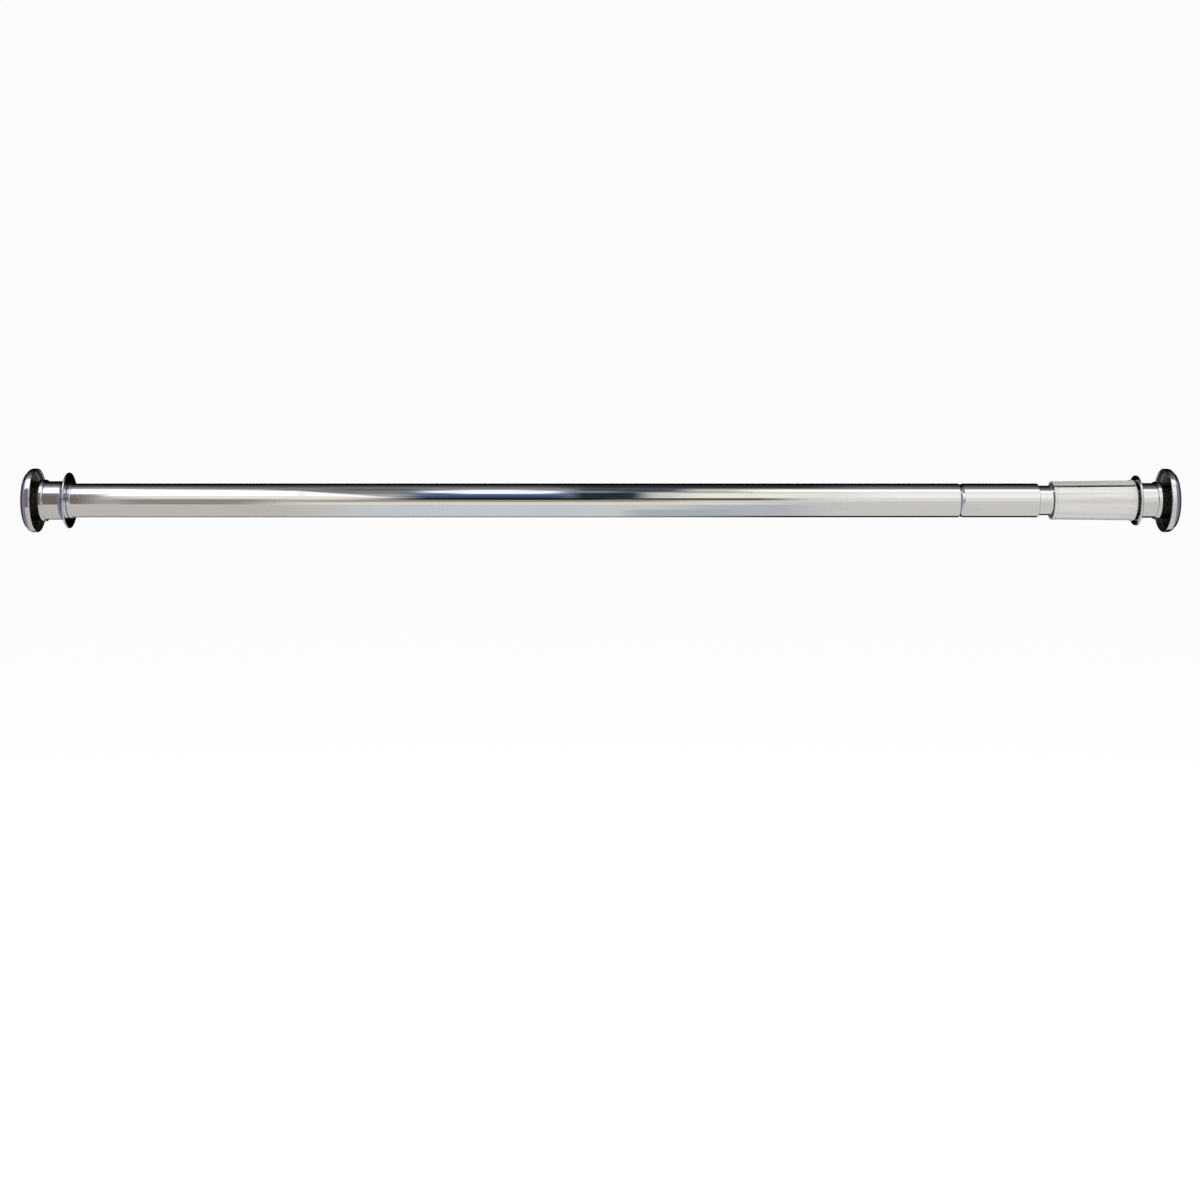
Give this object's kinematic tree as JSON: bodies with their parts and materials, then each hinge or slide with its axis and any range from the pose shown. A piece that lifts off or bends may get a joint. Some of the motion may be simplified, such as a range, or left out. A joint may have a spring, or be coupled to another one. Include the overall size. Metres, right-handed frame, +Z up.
{
  "type": "pull up bar",
  "caption": "Telescopic doorway pull-up bar: chromed tube-in-tube bar that screws out between two cupped wall flanges, with a sliding cover sleeve.",
  "frame": {"origin": "centre of the left wall face, on the bar's axis, where the left rubber pad meets the wall", "axes": "+X along the bar from the left wall to the right wall, +Z up, -Y towards the front"},
  "size_m": [0.8553, 0.0478, 0.0478],
  "materials": {
    "tube_chrome": "bright chrome plate",
    "flange_chrome": "bright chrome plate on pressed steel",
    "satin_sleeve": "satin, brushed along the bar",
    "plain_steel": "zinc plated",
    "nylon": "black nylon",
    "black_rubber": "matt"
  },
  "bodies": {
    "left_flange": {"left_wall_pad": "black_rubber", "left_flange_dish": "flange_chrome", "left_flange_socket": "flange_chrome"},
    "left_bush": {"left_end_pad": "black_rubber", "left_end_bush": "nylon"},
    "main_tube": {"main_tube": "tube_chrome", "left_tube_ring": "tube_chrome", "nut_insert": "plain_steel"},
    "inner_tube": {"inner_tube": "tube_chrome", "spindle_end_plug": "plain_steel", "spindle_cross_pin": "plain_steel", "threaded_spindle": "plain_steel", "spindle_guide": "nylon", "spindle_washer": "plain_steel", "spindle_lock_nut": "plain_steel", "right_end_cap": "black_rubber"},
    "cover_sleeve": {"cover_sleeve": "satin_sleeve", "sleeve_guide_ring": "nylon", "sleeve_o_ring": "black_rubber"},
    "right_flange": {"right_flange_socket": "flange_chrome", "right_flange_dish": "flange_chrome", "right_wall_pad": "black_rubber"}
  },
  "joints": [
    {"name": "bar_lift_out", "type": "slide", "parent": "left_flange", "child": "left_bush", "axis": [1, 0, 0], "range_m": [0, 0.03]},
    {"name": "main_tube_turn", "type": "hinge", "parent": "left_bush", "child": "main_tube", "pos_m": [0.38, 0, 0], "axis": [-1, 0, 0], "range_deg": [-405, 2880]},
    {"name": "inner_tube_extend", "type": "slide", "parent": "left_bush", "child": "inner_tube", "axis": [1, 0, 0], "range_m": [-0.00451, 0.03201]},
    {"name": "cover_sleeve_slide", "type": "slide", "parent": "inner_tube", "child": "cover_sleeve", "axis": [-1, 0, 0], "range_m": [0, 0.055]},
    {"name": "right_flange_pull_off", "type": "slide", "parent": "inner_tube", "child": "right_flange", "axis": [1, 0, 0], "range_m": [0, 0.03]}
  ],
  "couplings": [
    {"joint": "inner_tube_extend", "follows": "main_tube_turn", "m_per_rad": 0.00063662}
  ]
}
